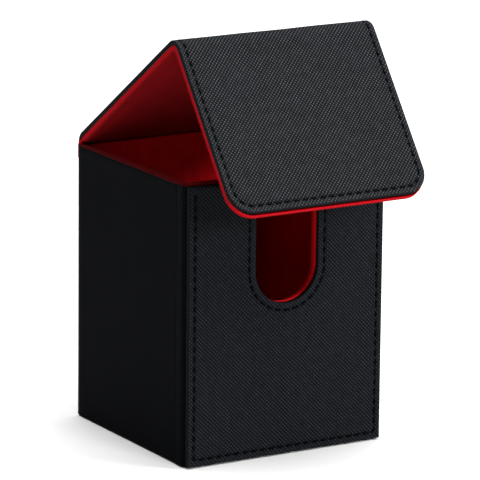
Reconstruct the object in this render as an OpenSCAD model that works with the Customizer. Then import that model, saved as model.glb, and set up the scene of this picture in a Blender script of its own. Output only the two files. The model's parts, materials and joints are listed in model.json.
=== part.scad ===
// Flip-lid deck box for trading cards: a greyboard box covered in black embossed leathercloth
// and lined in red suede, with a lid that folds at the back wall and again at a front ridge.
// Millimetres. +Z is up, the notched front faces -Y, and the origin is the centre of the base.

/* [Box] */
// Overall width of the box
box_w = 81; // [78:0.5:86]
// Overall depth of the box, over the front panel
box_d = 80; // [74:0.5:84]
// Height of the rim above the table
box_h = 102; // [99:0.5:106]
// Thickness of the leathercloth, and of the suede lining
skin = 0.8; // [0.6:0.1:1]
// Greyboard in the side and back walls
wall_board = 1.5; // [1.2:0.1:2]
// Laminated greyboard in the front wall
front_wall_board = 2.3; // [1.8:0.1:3]
// Greyboard in the floor
floor_board_t = 2; // [1.5:0.1:3]
// Radius of the two front vertical corners
corner_r = 3; // [2.5:0.1:4]
// Leathercloth strip seen on each side wall beside the front corner
strip_reach = 7.9; // [6:0.1:12]

/* [Front panel and thumb notch] */
// Thickness of the stitched panel on the front wall, cover included
panel_t = 1.7; // [1.4:0.1:2.5]
// Width of the stitched front panel
panel_w = 80; // [77:0.5:80]
// Drop of the panel's top edge below the rim
panel_drop = 0.8; // [0.4:0.1:2]
// Width of the thumb notch
notch_w = 25.5; // [20:0.5:30]
// Depth of the thumb notch below the rim
notch_depth = 46.4; // [35:0.2:55]

/* [Lid] */
// Width of the lid
lid_w = 80; // [78:0.5:80]
// Whole thickness of the lid
lid_t = 4.1; // [3.6:0.1:4.2]
// Black outer part of that thickness
lid_black_t = 1.6; // [1.2:0.1:2]
// Rear hinge line to the ridge's outer corner
top_len = 82.8; // [82:0.1:83.5]
// Ridge's outer corner to the flap's lower edge
flap_len = 69; // [60:0.5:75]
// Radius of the flap's lower corners
flap_r = 9; // [6:0.5:14]
// How far the red lining shows past the flap's lower edge
lining_proud = 0.7; // [0:0.1:1]

/* [Pose] */
// Lid opening from closed
open_angle = 35; // [35:1:35]
// Ridge opening from a right angle
ridge_open = 2; // [2:1:2]

/* [Stitching] */
// Distance from one stitch to the next
stitch_pitch = 3.6; // [3:0.1:5]
// Length of one stitch
stitch_len = 2.6; // [2:0.1:2.8]
// Distance of a stitch line from its panel's edge
stitch_in = 2.5; // [2:0.1:4]

/* [Hidden] */
$fn = 64;

eps = 0.01;
leather = [0.13, 0.14, 0.15];
suede = [0.62, 0.05, 0.06];
greyboard = [0.55, 0.50, 0.44];
thread = [0.05, 0.05, 0.06];
steel = [0.75, 0.76, 0.78];

// planes of the box, outside to inside
side_x = box_w / 2;
back_y = box_d / 2;
panel_y = -box_d / 2;
front_y = panel_y + panel_t;
carcass_x = side_x - skin;
carcass_back = back_y - skin;
carcass_front = front_y + skin;
lining_x = carcass_x - wall_board;
inner_x = lining_x - skin;
lining_back = carcass_back - wall_board;
inner_back = lining_back - skin;
lining_front = carcass_front + front_wall_board;
inner_front = lining_front + skin;
board_base = skin;
floor_top = board_base + floor_board_t;
inner_floor = floor_top + skin;
edging_base = box_h - skin;
panel_top = box_h - panel_drop;
panel_base = 0.3;
strip_end = panel_y + strip_reach;
strip_tuck = 7;

// thumb notch: straight sides into a half-round foot
notch_foot = box_h - notch_depth + notch_w / 2;
notch_board_w = notch_w + 2 * skin;

// lid: the hinge line lies as deep below the lid's outer face as it does behind the back wall's face
hinge_depth = lid_t - 1;
hinge_y = back_y - hinge_depth;
hinge_z = box_h + 1.2;
lid_board_t = lid_t - 2 * skin;
top_start = 5.4;
ridge_depth = 2.5;
ridge_flex = 7;
ridge_r = 5.5;
rear_r = 5;
top_end = top_len - ridge_flex;
flap_start = ridge_depth - ridge_flex;
flap_end = ridge_depth - flap_len;

// concealed magnets in the flap meet steel plates behind the front panel
magnet_x = 23;
magnet_up = 13;
magnet_r = 5;
magnet_t = 2;
keeper_r = 6;
closed_flap_foot = hinge_z + hinge_depth - flap_len;
keeper_z = closed_flap_foot + magnet_up;

groove_w = 0.7;
groove_d = 0.5;
thread_r = 0.22;
thread_sink = 0.26;
panel_stitch_r = 1;
notch_stitch_out = 2.7;
tail_drop = 5;
tail_t = 0.8;

// ---- shared shapes ----

// a plain block from its two opposite corners
module block(low, high) {
    translate(low) cube(high - low);
}

// outline in Y and Z, extruded across X and centred
module across(width) {
    translate([-width / 2, 0, 0]) rotate([90, 0, 90]) linear_extrude(width) children();
}

// outline in X and Z, extruded from y0 towards +Y
module upright(y0, thickness) {
    translate([0, y0 + thickness, 0]) rotate([90, 0, 0]) linear_extrude(thickness) children();
}

// half-round-footed slot open at the top
module slot_outline(width, foot, top) {
    translate([-width / 2, foot]) square([width, top - foot]);
    translate([0, foot]) circle(width / 2);
}

// plate between low and high with both lower corners rounded
module round_foot_outline(width, low, high, r) {
    translate([-width / 2, low + r]) square([width, high - low - r]);
    if (width > 2 * r + eps) translate([-width / 2 + r, low]) square([width - 2 * r, r + eps]);
    for (side = [-1, 1]) translate([side * (width / 2 - r), low + r]) circle(r);
}

// ring sector about the origin, for angles under 180
module band(r_out, r_in, from, to) {
    reach = 3 * r_out;
    mid = (from + to) / 2;
    intersection() {
        difference() {
            circle(r_out);
            if (r_in > 0) circle(r_in);
        }
        polygon([[0, 0], reach * [cos(from), sin(from)], reach * [cos(mid), sin(mid)], reach * [cos(to), sin(to)]]);
    }
}

// a point and heading on a U-shaped line, measured from the top of its left leg
function u_length(width, low, high, r) = 2 * (high - low - r) + (width - 2 * r) + PI * r;
function u_point(s, width, low, high, r) =
    let (leg = high - low - r, arc = PI * r / 2, base = width - 2 * r, half = width / 2)
    s < leg ? [-half, high - s, -90]
    : s < leg + arc ? let (a = 180 + (s - leg) / r * 180 / PI) [-half + r + r * cos(a), low + r + r * sin(a), a + 90]
    : s < leg + arc + base ? [-half + r + s - leg - arc, low, 0]
    : s < leg + 2 * arc + base
        ? let (a = 270 + (s - leg - arc - base) / r * 180 / PI) [half - r + r * cos(a), low + r + r * sin(a), a + 90]
    : [half, low + r + s - leg - 2 * arc - base, 90];

// thread lying along such a line, sunk in the face at y0
module u_stitches(y0, width, low, high, r) {
    count = floor(u_length(width, low, high, r) / stitch_pitch);
    spare = u_length(width, low, high, r) - count * stitch_pitch;
    for (i = [0 : count - 1]) {
        p = u_point(spare / 2 + (i + 0.5) * stitch_pitch, width, low, high, r);
        translate([p[0], y0 + thread_sink, p[1]]) rotate([0, 90 - p[2], 0])
            cylinder(r = thread_r, h = stitch_len, center = true, $fn = 24);
    }
}

// groove that such a line of thread lies in, open at its upper ends
module u_groove_outline(width, low, high, r) {
    difference() {
        round_foot_outline(width + groove_w, low - groove_w / 2, high, r + groove_w / 2);
        translate([0, eps]) round_foot_outline(width - groove_w, low + groove_w / 2 - eps, high + 1, r - groove_w / 2);
    }
}

// outline of the box seen from above, with rounded front corners
module plan_outline(half_x, front, back, r) {
    translate([-half_x, front + r]) square([2 * half_x, back - front - r]);
    translate([-half_x + r, front]) square([2 * (half_x - r), r + eps]);
    for (side = [-1, 1]) translate([side * (half_x - r), front + r]) circle(r);
}

// ---- box ----

// room at the top of the back wall for the tail of the hinge lining
module tail_pocket() {
    block([-side_x, carcass_back - tail_t, edging_base - tail_drop], [side_x, back_y, box_h]);
}

module floor_board() {
    bend_line = front_y + corner_r;
    color(greyboard) {
        block([-lining_x, bend_line, board_base], [lining_x, lining_back, floor_top]);
        block([-side_x + corner_r, carcass_front, board_base], [side_x - corner_r, bend_line + eps, floor_top]);
    }
}

module side_board() {
    difference() {
        block([-carcass_x, front_y + corner_r, board_base], [-lining_x, carcass_back, edging_base]);
        tail_pocket();
    }
}

module left_board() {
    color(greyboard) side_board();
}

module right_board() {
    color(greyboard) mirror([1, 0, 0]) side_board();
}

module back_board() {
    color(greyboard) difference() {
        block([-lining_x, lining_back, board_base], [lining_x, carcass_back, edging_base]);
        tail_pocket();
    }
}

module front_board() {
    color(greyboard) upright(carcass_front, front_wall_board) difference() {
        translate([-side_x + corner_r, floor_top]) square([2 * (side_x - corner_r), edging_base - floor_top]);
        slot_outline(notch_board_w, notch_foot, box_h + 1);
    }
}

module floor_lining() {
    color(suede) block([-inner_x, inner_front, floor_top], [inner_x, inner_back, inner_floor]);
}

module side_lining() {
    block([-lining_x, lining_front, floor_top], [-inner_x, lining_back, edging_base]);
}

module left_lining() {
    color(suede) side_lining();
}

module right_lining() {
    color(suede) mirror([1, 0, 0]) side_lining();
}

module back_lining() {
    color(suede) block([-inner_x, inner_back, floor_top], [inner_x, lining_back, edging_base]);
}

module front_lining() {
    color(suede) upright(lining_front, skin) difference() {
        translate([-inner_x, floor_top]) square([2 * inner_x, edging_base - floor_top]);
        slot_outline(notch_board_w, notch_foot, box_h + 1);
    }
}

module rim_edging() {
    outer_x = side_x - 0.2;
    color(suede) difference() {
        translate([0, 0, edging_base]) linear_extrude(skin) difference() {
            plan_outline(outer_x, front_y, inner_back, corner_r);
            translate([-inner_x, inner_front]) square([2 * inner_x, box_d]);
        }
        block([-notch_board_w / 2, panel_y, 0], [notch_board_w / 2, 0, box_h + 1]);
    }
}

module notch_edging() {
    color(suede) upright(front_y, inner_front - front_y) difference() {
        slot_outline(notch_board_w, notch_foot, box_h);
        slot_outline(notch_w, notch_foot, box_h + 1);
    }
}

module front_filler() {
    half = side_x - corner_r - strip_tuck;
    color(greyboard) difference() {
        upright(front_y, skin) difference() {
            translate([-half, board_base]) square([2 * half, edging_base - board_base]);
            slot_outline(notch_board_w, notch_foot, box_h + 1);
        }
        for (side = [-1, 1]) translate([side * magnet_x, front_y - 1, keeper_z]) rotate([-90, 0, 0])
            cylinder(r = keeper_r, h = skin + 2);
    }
}

module keeper_plates() {
    color(steel) for (side = [-1, 1]) translate([side * magnet_x, front_y, keeper_z]) rotate([-90, 0, 0])
        cylinder(r = keeper_r, h = skin);
}

module panel_board() {
    side = panel_w / 2 - skin;
    color(greyboard) upright(panel_y + skin, panel_t - skin) difference() {
        translate([-side, panel_base + skin]) square([2 * side, panel_top - panel_base - 2 * skin]);
        slot_outline(notch_board_w, notch_foot, box_h + 1);
    }
}

module panel_cover() {
    side = panel_w / 2;
    notch_line = notch_w + 2 * notch_stitch_out;
    color(leather) difference() {
        upright(panel_y, panel_t) difference() {
            translate([-side, panel_base]) square([2 * side, panel_top - panel_base]);
            slot_outline(notch_w, notch_foot, box_h + 1);
        }
        upright(panel_y + skin, panel_t) difference() {
            translate([-side + skin, panel_base + skin]) square([2 * (side - skin), panel_top - panel_base - 2 * skin]);
            slot_outline(notch_board_w, notch_foot, box_h + 1);
        }
        upright(panel_y - 1, groove_d + 1) {
            u_groove_outline(panel_w - 2 * stitch_in, panel_base + stitch_in, box_h + 1, panel_stitch_r);
            u_groove_outline(notch_line, notch_foot - notch_line / 2, box_h + 1, notch_line / 2);
        }
    }
}

module panel_stitching() {
    color(thread) u_stitches(panel_y, panel_w - 2 * stitch_in, panel_base + stitch_in, panel_top, panel_stitch_r);
}

module notch_stitching() {
    notch_line = notch_w + 2 * notch_stitch_out;
    color(thread) u_stitches(panel_y, notch_line, notch_foot - notch_line / 2, panel_top, notch_line / 2);
}

module side_cover() {
    difference() {
        block([-side_x, strip_end + eps, board_base], [-carcass_x, carcass_back, edging_base]);
        tail_pocket();
    }
}

module left_cover() {
    color(leather) side_cover();
}

module right_cover() {
    color(leather) mirror([1, 0, 0]) side_cover();
}

// strip that turns round the front corner and is tucked under the front panel
module corner_strip() {
    translate([0, 0, board_base]) linear_extrude(edging_base - board_base) {
        translate([-side_x, front_y + corner_r]) square([skin, strip_end - front_y - corner_r]);
        translate([-side_x + corner_r, front_y + corner_r]) band(corner_r, corner_r - skin, 180, 270);
        translate([-side_x + corner_r, front_y]) square([strip_tuck, skin]);
    }
}

module left_corner_strip() {
    color(leather) corner_strip();
}

module right_corner_strip() {
    color(leather) mirror([1, 0, 0]) corner_strip();
}

module back_cover() {
    color(leather) block([-side_x, carcass_back, board_base], [side_x, back_y, edging_base - tail_drop]);
}

module bottom_cover() {
    color(leather) linear_extrude(skin) plan_outline(side_x, front_y, back_y, corner_r);
}

// ---- lid top, drawn shut about the hinge line and then opened ----

module lid_frame() {
    translate([0, hinge_y, hinge_z]) rotate([-open_angle, 0, 0]) children();
}

lid_inner = hinge_depth - lid_t;
lid_seam = hinge_depth - lid_black_t;

module top_board() {
    color(greyboard) lid_frame()
        block([-lid_w / 2 + skin, -top_end, lid_inner + skin], [lid_w / 2 - skin, -top_start, hinge_depth - skin]);
}

// shallow tray of sheet that wraps one face and the two side edges of the lid's top
module top_tray(face_low, face_high, low, high) {
    block([-lid_w / 2, -top_end, face_low], [lid_w / 2, -top_start, face_high]);
    for (side = [0, 1]) mirror([side, 0, 0])
        block([-lid_w / 2, -top_end, low], [-lid_w / 2 + skin, -top_start, high]);
}

module top_cover() {
    line = lid_w / 2 - stitch_in;
    color(leather) lid_frame() difference() {
        top_tray(hinge_depth - skin, hinge_depth, lid_seam, hinge_depth);
        for (side = [-1, 1]) translate([side * line, -top_len / 2, hinge_depth])
            cube([groove_w, 2 * top_len, 2 * groove_d], center = true);
    }
}

module top_lining() {
    color(suede) lid_frame() top_tray(lid_inner, lid_inner + skin, lid_inner, lid_seam);
}

module top_stitching() {
    count = floor((top_end - top_start) / stitch_pitch);
    color(thread) lid_frame() for (side = [-1, 1], i = [0 : count - 1])
        translate([side * (lid_w / 2 - stitch_in), -top_start - (i + 0.5) * stitch_pitch, hinge_depth - thread_sink])
            rotate([90, 0, 0]) cylinder(r = thread_r, h = stitch_len, center = true, $fn = 24);
}

// ---- rear hinge: leathercloth and lining bent round the back corner ----

rear_bend = 90 - open_angle;
rear_centre = [back_y - rear_r, hinge_z - (rear_r - hinge_depth) * tan(rear_bend / 2)];

module in_lid_outline() {
    translate([hinge_y, hinge_z]) rotate(-open_angle) children();
}

module rear_hinge_cover() {
    run = (rear_r - hinge_depth) * tan(rear_bend / 2);
    color(leather) across(lid_w) {
        translate([carcass_back, edging_base - tail_drop])
            square([skin, rear_centre[1] - edging_base + tail_drop + eps]);
        translate(rear_centre) band(rear_r, rear_r - skin, 0, rear_bend);
        in_lid_outline() translate([-top_start, hinge_depth - skin]) square([top_start - run + eps, skin]);
    }
}

module rear_hinge_lining() {
    run = (rear_r - hinge_depth) * tan(rear_bend / 2);
    color(suede) across(lid_w) {
        translate([carcass_back - tail_t, edging_base - tail_drop]) square([tail_t, tail_drop + eps]);
        difference() {
            union() {
                translate([inner_back, edging_base])
                    square([carcass_back - inner_back, rear_centre[1] - edging_base + eps]);
                translate(rear_centre) band(rear_r - skin, 0, 0, rear_bend);
                in_lid_outline() translate([-top_start, lid_inner]) square([top_start - run + eps, lid_t - skin]);
            }
            // nothing of it reaches into the card space below the lid
            in_lid_outline() translate([-20, lid_inner - 10]) square([20 - run, 10]);
            translate([0, box_h - 10]) square([inner_back - eps, 10]);
        }
    }
}

// ---- ridge and front flap, drawn shut and then opened ----

ridge_y = -top_len + ridge_depth;
ridge_z = hinge_depth - ridge_depth;

module flap_frame() {
    lid_frame() translate([0, ridge_y, ridge_z]) rotate([-ridge_open, 0, 0]) children();
}

ridge_bend = 90 - ridge_open;
ridge_shift = (ridge_r - ridge_depth) * (1 - sin(ridge_open)) / cos(ridge_open);
ridge_run = (ridge_r - ridge_depth) * tan(ridge_bend / 2);

// bent sheet between depths from and to below the outer face of the ridge
module ridge_sheet(from, to) {
    centre = [ridge_y + ridge_shift, ridge_z - ridge_r + ridge_depth];
    lid_frame() across(lid_w) {
        translate(centre) band(ridge_r - from, ridge_r - to, 90, 90 + ridge_bend);
        translate([centre[0] - eps, hinge_depth - to]) square([-top_end - centre[0] + eps, to - from]);
        translate([ridge_y, ridge_z]) rotate(-ridge_open)
            translate([-ridge_depth + from, flap_start]) square([to - from, -flap_start - ridge_run + eps]);
    }
}

module ridge_cover() {
    color(leather) ridge_sheet(0, skin);
}

module ridge_lining() {
    color(suede) ridge_sheet(skin, lid_t);
}

module flap_outline(inset, foot_out) {
    round_foot_outline(lid_w - 2 * inset, flap_end + inset - foot_out, flap_start, flap_r - inset);
}

module flap_board() {
    color(greyboard) flap_frame() difference() {
        upright(-ridge_depth + skin, lid_board_t) flap_outline(skin, 0);
        for (side = [-1, 1]) magnet_place(side) cylinder(r = magnet_r, h = magnet_t + 1);
    }
}

module magnet_place(side) {
    translate([side * magnet_x, -ridge_depth + lid_t - skin - magnet_t, flap_end + magnet_up])
        rotate([-90, 0, 0]) children();
}

module flap_magnets() {
    color(steel) flap_frame() for (side = [-1, 1]) magnet_place(side) cylinder(r = magnet_r, h = magnet_t);
}

module flap_cover() {
    line_w = lid_w - 2 * stitch_in;
    color(leather) flap_frame() difference() {
        upright(-ridge_depth, lid_black_t) flap_outline(0, 0);
        upright(-ridge_depth + skin, lid_black_t) {
            flap_outline(skin, 0);
            translate([-lid_w / 2 + skin, flap_start - 1]) square([lid_w - 2 * skin, 2]);
        }
        upright(-ridge_depth - 1, groove_d + 1)
            u_groove_outline(line_w, flap_end + stitch_in, flap_start + 1, flap_r - stitch_in);
    }
}

module flap_lining() {
    red_t = lid_t - lid_black_t;
    color(suede) flap_frame() difference() {
        upright(-ridge_depth + lid_black_t, red_t) flap_outline(0, lining_proud);
        upright(-ridge_depth + lid_black_t - skin, red_t) {
            flap_outline(skin, 0);
            translate([-lid_w / 2 + skin, flap_start - 1]) square([lid_w - 2 * skin, 2]);
        }
    }
}

module flap_stitching() {
    line_w = lid_w - 2 * stitch_in;
    color(thread) flap_frame()
        u_stitches(-ridge_depth, line_w, flap_end + stitch_in, flap_start, flap_r - stitch_in);
}

floor_board();
left_board();
right_board();
back_board();
front_board();
floor_lining();
left_lining();
right_lining();
back_lining();
front_lining();
rim_edging();
notch_edging();
front_filler();
keeper_plates();
panel_board();
panel_cover();
panel_stitching();
notch_stitching();
left_cover();
right_cover();
left_corner_strip();
right_corner_strip();
back_cover();
bottom_cover();
rear_hinge_cover();
rear_hinge_lining();
top_board();
top_cover();
top_lining();
top_stitching();
ridge_cover();
ridge_lining();
flap_board();
flap_cover();
flap_lining();
flap_stitching();
flap_magnets();
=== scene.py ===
"""Looks of a flip-lid deck box for trading cards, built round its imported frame.

Lengths are in millimetres until a mesh is made. Each sheet of leathercloth or suede is laid out flat
first, as (across, along, depth below its face), and then placed on a wall or bent along the lid.
"""

import json
import math

import bmesh
import bpy
import numpy as np
from mathutils import Matrix, Vector


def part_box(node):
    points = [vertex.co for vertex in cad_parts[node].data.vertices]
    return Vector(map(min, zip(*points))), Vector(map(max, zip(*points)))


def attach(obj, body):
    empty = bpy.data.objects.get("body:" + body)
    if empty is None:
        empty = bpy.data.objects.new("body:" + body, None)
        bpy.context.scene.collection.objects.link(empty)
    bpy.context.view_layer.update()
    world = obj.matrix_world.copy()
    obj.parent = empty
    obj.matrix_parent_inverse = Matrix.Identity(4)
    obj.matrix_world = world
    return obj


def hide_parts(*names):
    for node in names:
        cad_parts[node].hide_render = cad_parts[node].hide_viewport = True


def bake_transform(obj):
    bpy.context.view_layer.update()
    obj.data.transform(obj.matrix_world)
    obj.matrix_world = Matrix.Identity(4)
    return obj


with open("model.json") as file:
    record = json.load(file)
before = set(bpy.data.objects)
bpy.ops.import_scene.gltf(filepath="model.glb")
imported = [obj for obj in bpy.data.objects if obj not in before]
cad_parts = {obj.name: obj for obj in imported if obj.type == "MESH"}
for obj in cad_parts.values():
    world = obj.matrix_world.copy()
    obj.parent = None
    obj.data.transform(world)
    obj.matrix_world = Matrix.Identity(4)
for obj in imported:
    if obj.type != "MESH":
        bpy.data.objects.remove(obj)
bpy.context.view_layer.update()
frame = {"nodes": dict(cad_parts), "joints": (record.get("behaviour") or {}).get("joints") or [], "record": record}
MM = 0.001


# ---- sizes, from the frame ----

def corners(node):
    """Lowest and highest corner of a CAD node."""
    low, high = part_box(node)
    return np.array(low) / MM, np.array(high) / MM


def leaning_corners(node, pivot, angle):
    """A node's corners in axes that start at a pivot line and lean back with the lid."""
    points = np.array([v.co for v in frame["nodes"][node].data.vertices]) / MM
    y, z = points[:, 1] - pivot[0], points[:, 2] - pivot[1]
    c, s = math.cos(angle), math.sin(angle)
    turned = np.column_stack([points[:, 0], y * c - z * s, y * s + z * c])
    return turned.min(0), turned.max(0)


joints = {j["name"]: j for j in frame["joints"]}
hinge = np.array(joints["rear_hinge"]["pos_m"][1:]) / MM
ridge = np.array(joints["ridge_hinge"]["pos_m"][1:]) / MM
lid_angle = math.radians(-joints["rear_hinge"]["range_deg"][0])
ridge_angle = math.radians(-joints["ridge_hinge"]["range_deg"][0])

panel_low, panel_high = corners("panel_cover")
side_low, side_high = corners("left_cover")
back_high = corners("back_cover")[1]
rim_low, rim_high = corners("rim_edging")
floor_low, floor_high = corners("floor_lining")
notch_low, notch_high = corners("notch_edging")
strip_high = corners("left_corner_strip")[1]
top_low, top_high = leaning_corners("top_cover", hinge, lid_angle)
under_low = leaning_corners("top_lining", hinge, lid_angle)[0]
flap_low, flap_high = leaning_corners("flap_cover", ridge, lid_angle + ridge_angle)
red_low = leaning_corners("flap_lining", ridge, lid_angle + ridge_angle)[0]

SKIN = side_high[0] - side_low[0]
PANEL_FACE, PANEL_BACK = panel_low[1], panel_high[1]
PANEL_T = PANEL_BACK - PANEL_FACE
PANEL_HALF, PANEL_FOOT, PANEL_TOP = panel_high[0], panel_low[2], panel_high[2]
BOX_HALF, STRIP_END, BACK = -side_low[0], side_low[1], back_high[1]
RIM, RIM_BASE = rim_high[2], rim_low[2]
ROOM_HALF, ROOM_FRONT, ROOM_BACK, ROOM_FLOOR = floor_high[0], floor_low[1], floor_high[1], floor_high[2]
NOTCH_HALF = notch_high[0] - SKIN
NOTCH_Z = notch_low[2] + SKIN + NOTCH_HALF
LID_HALF, LID_START = top_high[0], -top_high[1]
LID_T, BLACK_T = top_high[2] - under_low[2], top_high[2] - top_low[2]
REAR_DEPTH, RIDGE_DEPTH = top_high[2], -flap_low[1]
FLAP_FOOT, FLAP_RED_FOOT, FLAP_START = -flap_low[2], -red_low[2], -flap_high[2]

# the lid's layers: the black edge dips in behind the red one, whose sides stand in a little from the black
# ones, and the lining ends in a tail, glued to the back wall
BLACK_EDGE_T = BLACK_T + 0.12
RED_HALF = LID_HALF - 0.25
TAIL_HALF = BOX_HALF - 0.22
TAIL_FOOT = RIM_BASE - 4.6

# sheets of the box: the lowest edge of the outer ones and their top edge, and the same for the wall lining
COVER_FOOT, COVER_TOP = 0.3, RIM_BASE + 0.25
LINING_FOOT, LINING_TOP = ROOM_FLOOR - 0.4, RIM - 0.45

# rounding of the soft folds and corners
REAR_R = 5.0
RIDGE_R = 5.5
FLAP_R = 9.0
STRIP_R = 3.0
EDGE_R = 0.6
ROOM_CORNER_R = 0.8
BACK_CORNER_R = 1.0

# stitching: how far in from an edge or out from the notch, how far short of the panel's top it stops, and
# the stitches themselves
STITCH_IN = 2.5
NOTCH_STITCH_OUT = 2.7
SEAM_END = 0.6
STITCH_PITCH = 3.6
STITCH_LENGTH = 2.0
THREAD_R = 0.4


# ---- bent lines and flat layouts ----

class Track:
    """A line in a plane, made of straight runs and arcs, with a length along it."""

    def __init__(self, start, heading):
        self.runs = []
        self.length = 0.0
        self.end, self.heading = np.array(start, float), heading

    def add(self, length, turn=0.0):
        """Runs on for a length while turning left by an angle."""
        self.runs.append((self.length, length, turn, self.end, self.heading))
        self.length += length
        (self.end,), (self.heading,) = self.at([self.length])
        return self

    def at(self, distances):
        """Points and headings at these distances. Both ends run on straight."""
        distances = np.asarray(distances, float)
        points, headings = np.zeros((len(distances), 2)), np.zeros(len(distances))
        for i, (first, length, turn, origin, heading) in enumerate(self.runs):
            here = distances >= first if i else np.ones(len(distances), bool)
            s = distances[here] - first
            inside = np.clip(s, 0, length)
            angle = heading + inside * turn / length
            if turn:
                bend = length / turn
                way = bend * np.column_stack([np.sin(angle) - math.sin(heading),
                                              math.cos(heading) - np.cos(angle)])
            else:
                way = inside[:, None] * [math.cos(heading), math.sin(heading)]
            beyond = (s - inside)[:, None] * np.column_stack([np.cos(angle), np.sin(angle)])
            points[here], headings[here] = origin + way + beyond, angle
        return points, headings

    def beside(self, distances, left):
        """Points at a distance to the left of the line."""
        points, headings = self.at(distances)
        return points + np.asarray(left)[:, None] * np.column_stack([-np.sin(headings), np.cos(headings)])


def u_track(half, head, foot, radius):
    """Down one side, across the foot and up the other side, between two round corners."""
    sign = math.copysign(1, foot - head)
    leg, quarter = abs(foot - head) - radius, -sign * math.pi / 2
    track = Track((-half, head), -quarter)
    for length, turn in ((leg, 0), (radius * math.pi / 2, quarter), (2 * (half - radius), 0),
                         (radius * math.pi / 2, quarter), (leg, 0)):
        if length > 0:
            track.add(length, turn)
    return track


def smooth(t):
    """Eases from 0 to 1."""
    t = np.clip(t, 0, 1)
    return t * t * (3 - 2 * t)


def section(radius, depth, tuck=0.25, field=(), steps=5):
    """A turned edge's cross-section, from under the edge to the field: inset, depth, inset on the cloth."""
    turn = np.linspace(0, math.pi / 2, steps + 1)
    points = [(tuck, depth), (0.3 * tuck, depth - 0.3 * tuck), (0.0, depth - tuck)]
    points += [(radius * (1 - math.cos(a)), radius * (1 - math.sin(a))) for a in turn]
    points += [(inset, 0.0) for inset in field]
    points = np.array(points)
    run = np.hypot(*np.diff(points, axis=0).T)
    cloth = points[-1, 0] - np.append(run[::-1].cumsum()[::-1], 0)
    return np.column_stack([points, cloth])


# the inset of a point that no turned edge is near
FAR = 99.0


def plain_rows(positions):
    """Rows of a sheet, as (along, depth, along on the cloth, inset), without a turned edge."""
    positions = np.asarray(positions, float)
    return np.column_stack([positions, np.zeros(len(positions)), positions, np.full(len(positions), FAR)])


def turned_rows(head, sign, edge, positions):
    """Rows over a turned edge at the head, which go along by the sign, and then the given ones."""
    first = np.column_stack([head + sign * edge[:, 0], edge[:, 1], head + sign * edge[:, 2], edge[:, 2]])
    rest = plain_rows(positions)
    rest[:, 3] = np.abs(rest[:, 0] - head)
    return np.vstack([first, rest])


def spaced(start, end, step):
    """Evenly spaced values, about a step apart, with both ends."""
    return np.linspace(start, end, max(2, round(abs(end - start) / step) + 1))


# insets of the columns that follow a turned edge, close together where the seam draws the sheet in
STITCH_FIELD = (1.2, 1.6, 1.9, 2.1, 2.3, 2.5, 2.7, 2.9, 3.1, 3.5, 4.1, 5.0)


class Layout:
    """A sheet laid out flat. Each point has (across, along, depth), a place on the cloth and a distance in
    from the nearest turned edge."""

    def __init__(self):
        self.parts, self.faces, self.count = [], [], 0

    def add(self, flat, cloth, inset):
        """Adds points and returns their numbers, in the shape that they came in."""
        shape = flat.shape[:-1]
        inset = np.broadcast_to(inset, shape)
        self.parts.append((flat.reshape(-1, 3), cloth.reshape(-1, 2), inset.reshape(-1)))
        numbers = np.arange(self.count, self.count + int(np.prod(shape))).reshape(shape)
        self.count += numbers.size
        return numbers

    def fill(self, numbers):
        """Makes quads between neighbouring rows and columns of point numbers."""
        quads = np.stack([numbers[:-1, :-1], numbers[:-1, 1:], numbers[1:, 1:], numbers[1:, :-1]], -1)
        self.faces += quads.reshape(-1, 4).tolist()

    def arrays(self):
        """All the points, their places on the cloth and their insets."""
        return [np.concatenate([p[i] for p in self.parts]) for i in range(3)]


def lay_grid(flat, cloth, inset):
    """A sheet that is one grid of points."""
    layout = Layout()
    layout.fill(layout.add(flat, cloth, inset))
    return layout


def rings(outline, inward, insets):
    """Copies of an outline, moved in by each of the insets."""
    return outline[None] + inward[None] * np.asarray(insets)[:, None, None]


def lay_strip(rows, half, edge, step=0.8):
    """A sheet between two sides. half and edge give the half width and the edge's section at each row."""
    halves = [half(v) for v in rows[:, 0]]
    edges = np.array([edge(v) for v in rows[:, 0]])
    inner = halves[0] - edges[0, -1, 0]
    middle = np.linspace(-1, 1, round(2 * inner / step))[1:-1]
    across, depth, cloth, inset = [], [], [], []
    for h, e in zip(halves, edges):
        reach = h - e[-1, 0]
        across.append(np.concatenate([-h + e[:, 0], middle * reach, (h - e[:, 0])[::-1]]))
        depth.append(np.concatenate([e[:, 1], middle * 0 + e[-1, 1], e[::-1, 1]]))
        cloth.append(np.concatenate([-h + e[:, 2], middle * reach, (h - e[:, 2])[::-1]]))
        inset.append(np.concatenate([e[:, 2], middle * 0 + FAR, e[::-1, 2]]))
    across, depth, cloth, inset = map(np.array, (across, depth, cloth, inset))
    along = np.broadcast_to(rows[:, :1], across.shape)
    flat = np.stack([across, along, np.maximum(depth, rows[:, 1:2])], -1)
    cloth = np.stack([cloth, np.broadcast_to(rows[:, 2:3], across.shape)], -1)
    return lay_grid(flat, cloth, np.minimum(inset, rows[:, 3:]))


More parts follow.
